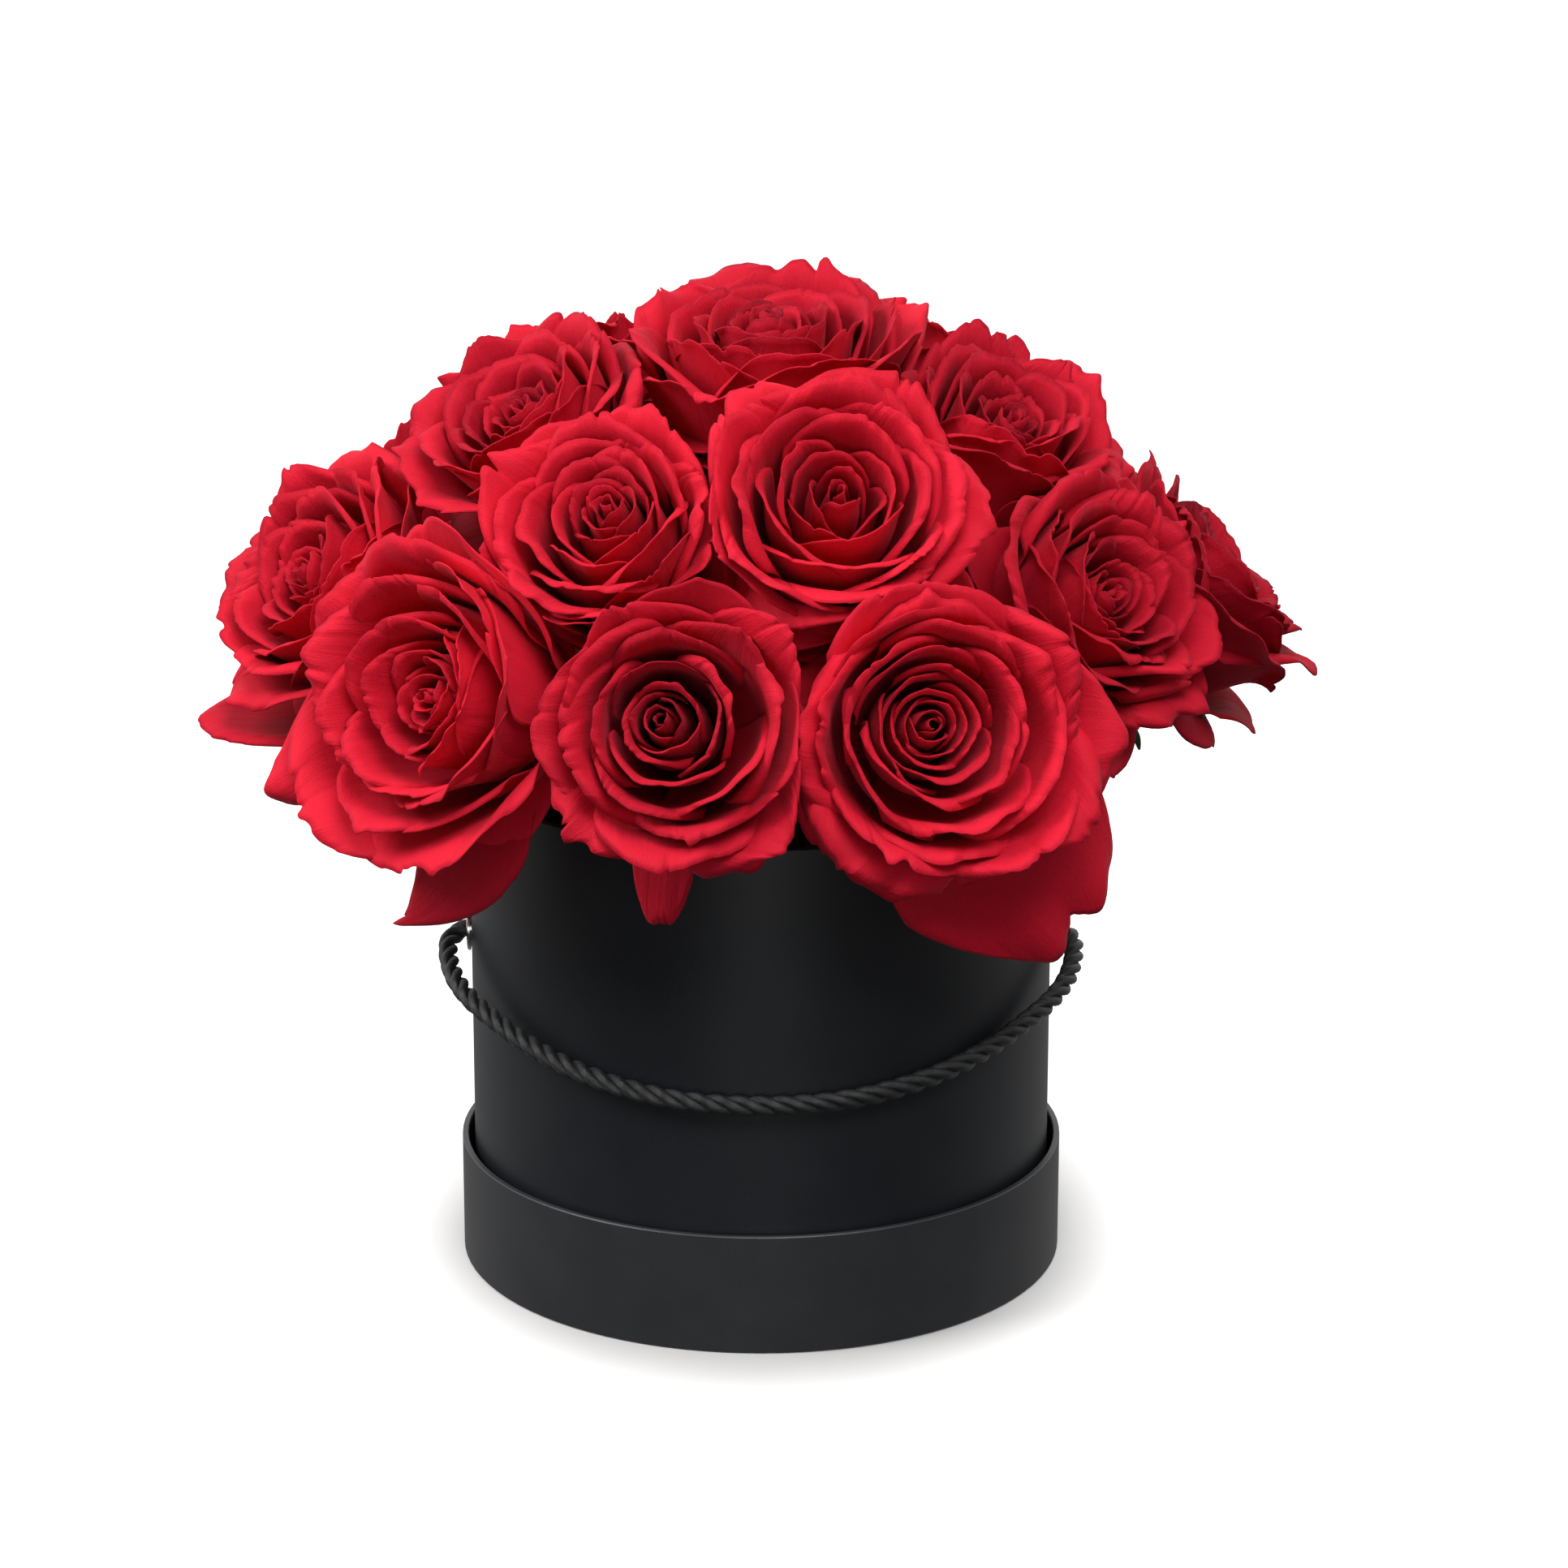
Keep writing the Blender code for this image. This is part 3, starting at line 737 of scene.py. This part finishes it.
def bloom_petals(rng, radius, depth, look, room):
    """All the petals of one rose, from its bud out, in its own frame and millimetres.
    Each is points, uv across, uv along, its tint and how far out its ring is."""
    grids = []
    turn = rng.uniform(0, 6.28)
    core, cup, skirt = look["core"] * radius, look["cup"] * radius, look["skirt"] * radius
    sunk, brim, opened = look["sunk"], look["brim"], look["open"]
    drift = np.array(look["drift"], float) + rng.normal(size=2) * 0.8
    slope, slope_way = rng.uniform(0.6, 2.2), rng.uniform(0, 6.28)

    def add(grid, share, height_shift=0.0, ring=1.0):
        points, across, along = grid
        shift = np.array([drift[0] * share, drift[1] * share, height_shift])
        grids.append((points + shift * along[..., None], across, along, rng.uniform(), ring))

    def fitted(reach, height):
        """The reach drawn in where the rose has a neighbour on that side, more so for the outer petals."""
        free = min(room(turn + side, height) for side in (-0.45, 0.0, 0.45))
        share = min(1.0, max(free + PRESS, LEAST_REACH * radius) / skirt)
        lean_way, lean = look["lean"]
        stretch = 1 + lean * math.cos(2 * (turn - lean_way)) + 0.02 * rng.normal()
        return reach * stretch * (1 - (1 - share) * min(1.0, reach / skirt)**1.5)

    # The bud: small petals wound tightly.
    for i in range(look["bud"]):
        k = i / look["bud"]
        turn += GOLDEN + rng.normal() * 0.15
        rim = (0.9 + (core - 2.0) * k, depth * (sunk + 0.02 - 0.02 * k))
        spine = spine_of((1.0, 6.0), rim, 0.30 + 0.25 * k, -0.16 + 0.10 * k)
        half = 0.20 * radius + 0.22 * radius * k
        grid = petal(rng, turn, spine, half, BUD_GRID, 1.4 + 1.2 * k, 0.45, lap=0.9, point=0.05)
        add(grid, 0.0, ring=0.1 * k)

    # The middle whorl: upright petals, wider and more turned out towards the cup's rim.
    for i in range(look["middle"]):
        k = (i + 0.5) / look["middle"]
        turn += GOLDEN + rng.normal() * 0.14
        reach = core + (cup - core) * k**look["swell"]
        height = depth * (sunk + (brim - sunk) * smooth(k, 0.0, 0.7)) + rng.normal() * 0.7
        reach = fitted(reach, height)
        lip = 2.6 + 3.0 * k
        rim = ((reach - 0.5 * lip) * rng.uniform(0.96, 1.04), height - 0.6 * lip)
        spine = spine_of((1.8 + 2.5 * k, 5 - 2.5 * k), rim, 0.60 + 0.75 * k, -0.04 + 0.20 * k * opened)
        half = radius * (0.45 + 0.36 * k) * rng.uniform(0.90, 1.12)
        curl = look["curl"] * (0.42 + 0.48 * k + 0.18 * rng.normal())
        grid = petal(rng, turn, spine, half, MIDDLE_GRID, lip, curl, wrap=1.0 + 0.05 * k, lap=0.9 + 0.4 * k,
                     ruffle=0.7, point=rng.uniform(0.0, 0.06), pinch=rng.uniform(0.0, 0.2),
                     shoulder=rng.uniform(0.14, 0.26))
        add(grid, k, slope * math.cos(turn - slope_way), 0.12 + 0.6 * k)

    # The outer whorl: broad petals with long lips that lean out and hang a little.
    for i in range(look["outer"]):
        k = (i + 0.5) / look["outer"]
        turn += GOLDEN + rng.normal() * 0.14
        reach = cup + (skirt - cup) * k**0.8
        height = depth * (brim - look["sag"] * k**1.3) + rng.normal() * 0.9
        reach = fitted(reach, height)
        lip = rng.uniform(3.5, 6.0) + 4.5 * k
        rim = (reach - 0.72 * lip + rng.normal() * 0.6, height - 0.35 * lip)
        spine = spine_of((4.5 + 1.5 * k, 2.5 - 2.0 * k), rim, 1.30 + 0.15 * k, 0.22 + 0.60 * k * opened)
        half = reach * (0.76 - 0.04 * k) * rng.uniform(0.88, 1.12)
        point = rng.uniform(0.0, 0.05) + 0.10 * (rng.uniform() > 0.75)
        curl = opened * (0.72 + 0.35 * k + 0.32 * rng.normal())
        grid = petal(rng, turn, spine, half, OUTER_GRID, lip, curl, wrap=1.05 + 0.15 * k, lap=1.3,
                     tip=0.03 * rng.uniform(0, 1), ragged=1.6, point=point, pinch=rng.uniform(0.1, 0.4),
                     roll=0.06, shoulder=rng.uniform(0.14, 0.26))
        add(grid, 1.0, slope * math.cos(turn - slope_way), 0.75 + 0.25 * k)

    # The collar: low drooping petals that close the gaps between roses.
    first = rng.uniform(0, 6.28)
    for j in range(look["collar"]):
        turn = first + j * 2 * math.pi / look["collar"] + rng.normal() * 0.15
        height = depth * rng.uniform(0.18, 0.45)
        reach = fitted(COLLAR_REACH * radius, height)
        spine = spine_of((5.5, 0.5), (reach - 4.0, height), 1.45, 1.35 + rng.uniform(0, 0.5))
        grid = petal(rng, turn, spine, 0.85 * reach, COLLAR_GRID, 6.0, 0.6, wrap=1.2, lap=0.8, roll=0.0,
                     ruffle=1.5, point=rng.uniform(0.0, 0.12), pinch=0.2)
        add(grid, 1.0, ring=0.6)

    for angle, reach, height, half, end_slope, lip, curl, point in look["extra"]:
        rim = (reach * radius - 0.7 * lip, height * depth - 0.3 * lip)
        spine = spine_of((5.5, 0.5), rim, 1.42, end_slope)
        grid = petal(rng, math.radians(angle), spine, half * radius, EXTRA_GRID, lip, curl, wrap=1.3,
                     lap=0.8, tip=0.02, point=point, pinch=0.4, roll=0.10)
        add(grid, 1.0)
    return grids


def guard_petal(rng, radius, depth, shape, end):
    """The petal that hangs free, on the profile of its solid, in the rose's own frame and millimetres."""
    roll, half_width, reach, tip = shape
    profile = [np.array((r * radius, z * depth, 0.0))
               for r, z in ((0.42, -0.02), (0.80, 0.20), (1.12, 0.40), (reach, tip))]
    line = smooth_route(profile, 0.5)[:, :2]
    run = run_of(line)
    way = np.gradient(line, axis=0)
    angles = np.arctan2(way[:, 0], way[:, 1])
    keep = run <= run[-1] - end["lip"] + 1.0
    spine = run[keep], line[keep], angles[keep]
    half = math.radians(half_width) * reach * radius * 0.80
    return petal(rng, math.radians(roll), spine, half, GUARD_GRID, wrap=1.15, lap=0.6, roll=-0.05, ease=0.6,
                 **end)


def sepal(rng, turn):
    """A narrow pointed leaf that springs from under the bloom and bends down."""
    length = rng.uniform(20, 27)
    v, u = square(SEPAL_GRID)
    spread = 3.6 * (1 - v)**0.8 * (0.55 + 0.45 * np.sin(np.clip(v / 0.35, 0, 1) * math.pi / 2)) + 0.15
    droop = rng.uniform(0.6, 1.3)
    angle = 1.35 + droop * v
    step = length / SEPAL_GRID[0]
    rad = 4.0 + np.concatenate([[[0.0]], np.cumsum(np.sin(angle[1:]) * step, axis=0)])
    hgt = -1.5 + np.concatenate([[[0.0]], np.cumsum(np.cos(angle[1:]) * step, axis=0)])
    z = hgt - 0.25 * spread * u**2 + 0.4 * wander(rng, v * 2 - 1, 3, 1.0) * u
    return turned_grid(rad + 0 * u, spread * u, z, turn, u, v)


def make_roses(petal_paint, leaf_paint):
    planes = separating_planes()
    for n in ROSES:
        base, facing, radius, depth = cup_of(n)
        axes = cup_axes(facing)
        look = {**DEFAULT_LOOK, "seed": FIRST_FREE_SEED + n, **LOOKS.get(n, {})}
        rng = np.random.default_rng(look["seed"])
        radius, depth = radius * 1000, depth * 1000

        def placed(points):
            return points / 1000 @ axes.T + base

        grids = []
        for points, across, along, tint, ring in bloom_petals(rng, radius, depth, look,
                                                              room_for(planes[n], axes, base)):
            # ring darkens the inner petals in the petal material: painted shade.
            floats = {"tint": tint + look["light"], "ring": ring}
            grids.append((keep_behind(placed(points), planes[n]), across, along, floats))
        bloom = grid_mesh(f"bloom_{n:02d}", grids, "petal", PETAL_THICK)
        finish_piece(bloom, petal_paint, "insert", "red_petal", f"rose_{n:02d}_bloom")
        if n in GUARDS:
            end = {**GUARD_END, **GUARD_ENDS.get(n, {})}
            points, across, along = guard_petal(rng, radius, depth, GUARDS[n], end)
            points = keep_behind(placed(points), planes[n])
            grids = [(points, across, along, {"tint": 0.3, "ring": 0.9})]
            guard = grid_mesh(f"guard_petal_{n:02d}", grids, "petal", PETAL_THICK)
            finish_piece(guard, petal_paint, "insert", "red_petal", f"rose_{n:02d}_guard")
        grids = []
        for k in range(SEPALS):
            points, across, along = sepal(rng, k * 2 * math.pi / SEPALS + rng.uniform(-0.2, 0.2))
            grids.append((placed(points), across, along, {}))
        leaves = grid_mesh(f"sepals_{n:02d}", grids, "petal", SEPAL_THICK)
        finish_piece(leaves, leaf_paint, "insert", "green_stem")


# ---------------------------------------------------------------- stage


def make_camera():
    data = bpy.data.cameras.new("camera")
    camera = bpy.data.objects.new("camera", data)
    bpy.context.scene.collection.objects.link(camera)
    aim_at(camera, CAMERA_PLACE, CAMERA_TARGET)
    data.lens = LENS
    data.shift_x = CAMERA_SHIFT
    bpy.context.scene.camera = camera


def aim_at(obj, place, target):
    obj.location = place
    obj.rotation_euler = (Vector(target) - Vector(place)).to_track_quat("-Z", "Y").to_euler()


def softbox(name, place, target, size, power):
    data = bpy.data.lights.new(name, "AREA")
    data.size = size
    data.energy = power
    obj = bpy.data.objects.new(name, data)
    obj.visible_camera = False
    bpy.context.scene.collection.objects.link(obj)
    aim_at(obj, place, target)


def make_world():
    """White all round: bright behind the part, dimmer in front and below."""
    world = bpy.data.worlds.new("studio")
    bpy.context.scene.world = world
    world.use_nodes = True
    tree = world.node_tree
    place = tree.nodes.new("ShaderNodeTexCoord")
    parts = tree.nodes.new("ShaderNodeSeparateXYZ")
    tree.links.new(place.outputs["Generated"], parts.inputs[0])
    product = tree.nodes.new("ShaderNodeMath")
    product.operation = "MULTIPLY"
    depth = map_range(tree, parts.outputs["Y"], DEPTH_RANGE, (FRONT_GLOW, BACK_GLOW))
    low = map_range(tree, parts.outputs["Z"], LOW_RANGE, (LOW_GLOW, 1.0))
    tree.links.new(depth, product.inputs[0])
    tree.links.new(low, product.inputs[1])
    background = tree.nodes["Background"]
    tree.links.new(product.outputs[0], background.inputs["Strength"])
    background.inputs["Color"].default_value = (1.0, 1.0, 1.0, 1.0)


def floor_material():
    g = Graph("floor")
    grain = g.noise(g.place(), 40.0, 2.0)
    parts = g.parts(g.place())
    # Near the part the glow fades and the base colour darkens: a painted contact shadow.
    wide = g.math("MULTIPLY", parts["X"], FLOOR_PAINTED_SHADOW_NARROW)
    away = g.math("ADD", g.math("MULTIPLY", wide, wide), g.math("POWER", parts["Y"], 2.0))
    glow_with_painted_shadow = map_range(g.tree, g.math("SQRT", away), FLOOR_PAINTED_SHADOW_RANGE, (0.0, FLOOR_GLOW), "SMOOTHSTEP")
    tone_with_painted_shadow = g.math("ADD", g.math("MULTIPLY", glow_with_painted_shadow, FLOOR_PAINTED_SHADOW_RISE), FLOOR_PAINTED_SHADOW_TONE)
    grain_and_painted_shadow = g.math("ADD", g.math("MULTIPLY", grain, FLOOR_GRAIN), tone_with_painted_shadow)
    color = g.ramp(grain_and_painted_shadow, [(0.0, (0.0, 0.0, 0.0)), (1.0, (1.0, 0.99, 0.985))])
    g.set(Base_Color=color, Roughness=0.9, Specular_IOR_Level=0.1)
    g.set(Emission_Color=(1.0, 0.995, 0.99, 1.0), Emission_Strength=glow_with_painted_shadow)
    return g.material


def make_floor():
    """A white floor that lights nothing but the camera's view of it."""
    corners = [(x * FLOOR_HALF, y * FLOOR_HALF, 0) for x, y in ((-1, -1), (1, -1), (1, 1), (-1, 1))]
    mesh = bpy.data.meshes.new("floor")
    mesh.from_pydata(corners, [], [(0, 1, 2, 3)])
    floor = bpy.data.objects.new("floor", mesh)
    bpy.context.scene.collection.objects.link(floor)
    floor.location.z = -FLOOR_DROP
    floor.visible_diffuse = False
    floor.visible_glossy = False
    mesh.materials.append(floor_material())


def paint(names, material):
    for name in names:
        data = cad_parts[name].data
        data.materials.clear()
        data.materials.append(material)


make_camera()
make_rope(rope_material())
make_world()
for lamp, settings in LAMPS.items():
    softbox(lamp, *settings)
make_floor()
bpy.context.scene.view_settings.view_transform = "Standard"

box_paper = paper_material("box_paper", (0.0065, 0.0075, 0.0102), (0.0122, 0.0137, 0.0170))
# The lid takes the box's paper made lighter: painted light for the extra light the lid catches low down.
lid_paper_painted_lighter = paper_material("lid_paper_painted_lighter", (0.0195, 0.0203, 0.0230), (0.0325, 0.0337, 0.0372))
paint(["box_wall", "box_base"], box_paper)
paint(["lid_rim", "lid_panel"], lid_paper_painted_lighter)
paint(["eyelet_left", "eyelet_right"], nickel_material())
paint(["cord_stop_left", "cord_stop_right"], steel_material())
paint(["liner"], liner_material())
paint(["foam"], foam_material())
stem_paint = leaf_material("stem", (0.020, 0.040, 0.012), (0.060, 0.110, 0.035))
leaf_paint = leaf_material("leaf", (0.018, 0.032, 0.014), (0.055, 0.085, 0.040))
paint([f"rose_{n:02d}_stem" for n in ROSES], stem_paint)
make_roses(petal_material(), leaf_paint)

bpy.context.view_layer.update()
